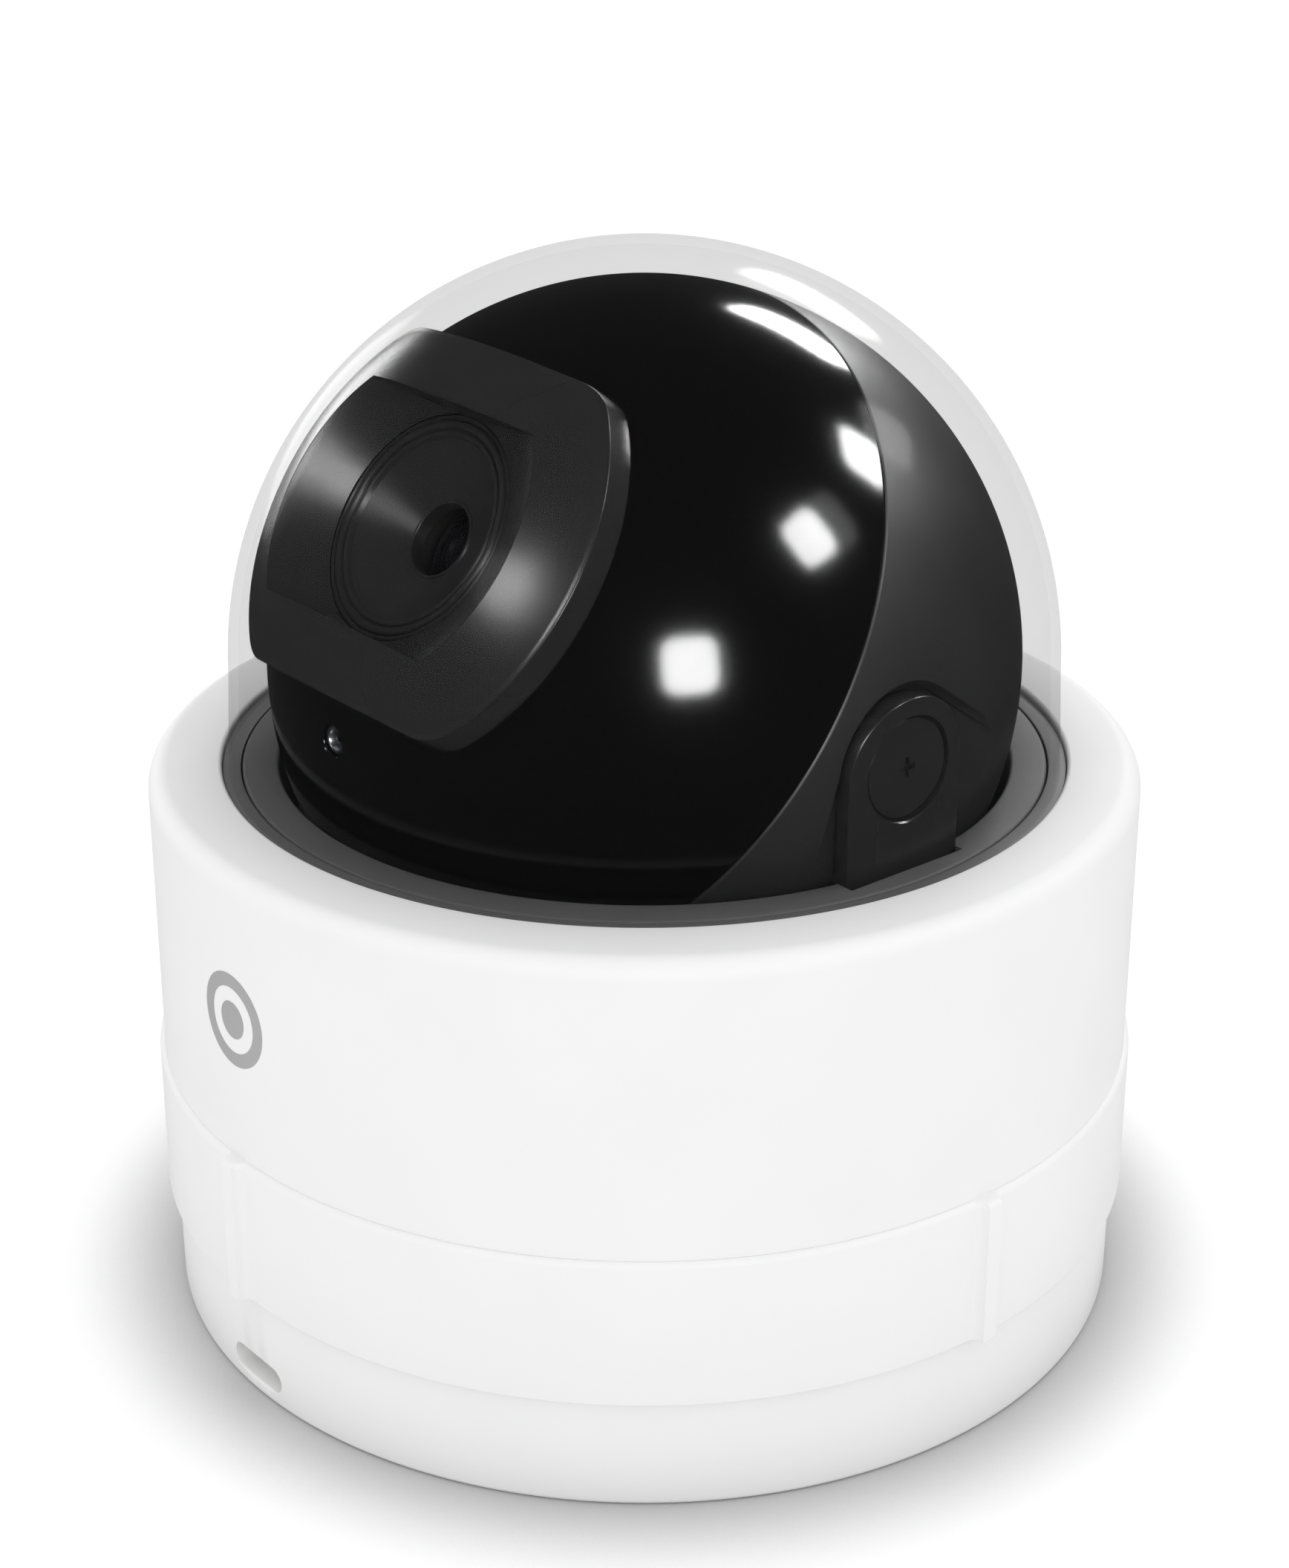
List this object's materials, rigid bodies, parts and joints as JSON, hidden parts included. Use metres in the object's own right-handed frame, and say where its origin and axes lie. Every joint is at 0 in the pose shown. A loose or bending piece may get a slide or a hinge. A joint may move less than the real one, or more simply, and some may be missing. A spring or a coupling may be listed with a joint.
{
  "type": "dome security camera",
  "caption": "Compact pan-and-tilt dome camera: eyeball lens on a yoke inside a clear dome, round white housing and twist-off mounting plate.",
  "frame": {"origin": "centre of the mounting plate's underside", "axes": "+Z from the plate up through the dome along the pan axis, -Y the way the lens looks at rest, X the tilt axis"},
  "size_m": [0.084, 0.084, 0.0875],
  "materials": {
    "white_case": "fine satin moulded texture",
    "clear_plastic": "clear polished polycarbonate",
    "dark_trim": "satin moulded dark grey",
    "gloss_black": "polished black",
    "matte_black": "satin moulded near-black",
    "rubber": "matt",
    "steel": "zinc plated",
    "brass": "turned",
    "board": "solder mask",
    "chip": "moulded resin",
    "glass": "coated optical glass",
    "acetal": "natural acetal"
  },
  "bodies": {
    "mount": {"mounting_plate": "white_case"},
    "latch": {"release_latch": "acetal"},
    "housing": {"bottom_cover": "white_case", "lower_housing": "white_case", "upper_shell": "white_case", "clear_dome": "clear_plastic", "dome_gasket": "rubber", "dome_retainer": "matte_black", "chassis": "matte_black", "pan_bearing": "steel", "main_board": "board", "processor": "chip", "modular_jack": "steel", "pan_motor": "steel", "board_screw_1": "steel", "board_screw_2": "steel", "board_screw_3": "steel"},
    "reset": {"reset_button": "acetal"},
    "pinion": {"pan_pinion": "brass"},
    "pan_stage": {"pan_gear": "acetal", "turntable": "matte_black", "trim_collar": "dark_trim", "yoke_arm_right": "matte_black", "pivot_screw_right": "matte_black", "yoke_arm_left": "matte_black", "pivot_screw_left": "matte_black"},
    "eyeball": {"rear_shell": "matte_black", "front_shell": "gloss_black", "lens_bezel": "matte_black", "lens_ring": "matte_black", "lens_barrel": "matte_black", "lens_element": "glass", "lens_holder": "matte_black", "image_sensor": "chip", "sensor_board": "board", "tilt_motor": "steel", "light_sensor": "glass", "pivot_bush_right": "brass", "pivot_bush_left": "brass"},
    "filter": {"filter_slide": "matte_black"}
  },
  "joints": [
    {"name": "mount_twist", "type": "hinge", "parent": "mount", "child": "housing", "pos_m": [0, 0, 0], "axis": [0, 0, 1], "range_deg": [0, 24]},
    {"name": "latch_press", "type": "slide", "parent": "mount", "child": "latch", "axis": [0, 1, 0], "range_m": [0, 0.0016], "stiffness_N_per_m": 300},
    {"name": "reset_press", "type": "slide", "parent": "housing", "child": "reset", "axis": [0, 0, 1], "range_m": [0, 0.0008], "stiffness_N_per_m": 500},
    {"name": "pan", "type": "hinge", "parent": "housing", "child": "pan_stage", "pos_m": [0, 0, 0], "axis": [0, 0, 1], "range_deg": [-175, 175]},
    {"name": "pinion_spin", "type": "hinge", "parent": "housing", "child": "pinion", "pos_m": [-0.02252, -0.013, 0], "axis": [0, 0, 1], "range_deg": [-963, 963]},
    {"name": "tilt", "type": "hinge", "parent": "pan_stage", "child": "eyeball", "pos_m": [0, 0, 0.05395], "axis": [-1, 0, 0], "range_deg": [-13, 54.8]},
    {"name": "filter_shift", "type": "slide", "parent": "eyeball", "child": "filter", "axis": [-1, 0, 0], "range_m": [0, 0.006]}
  ],
  "couplings": [
    {"joint": "pinion_spin", "follows": "pan", "ratio": -5.5}
  ]
}
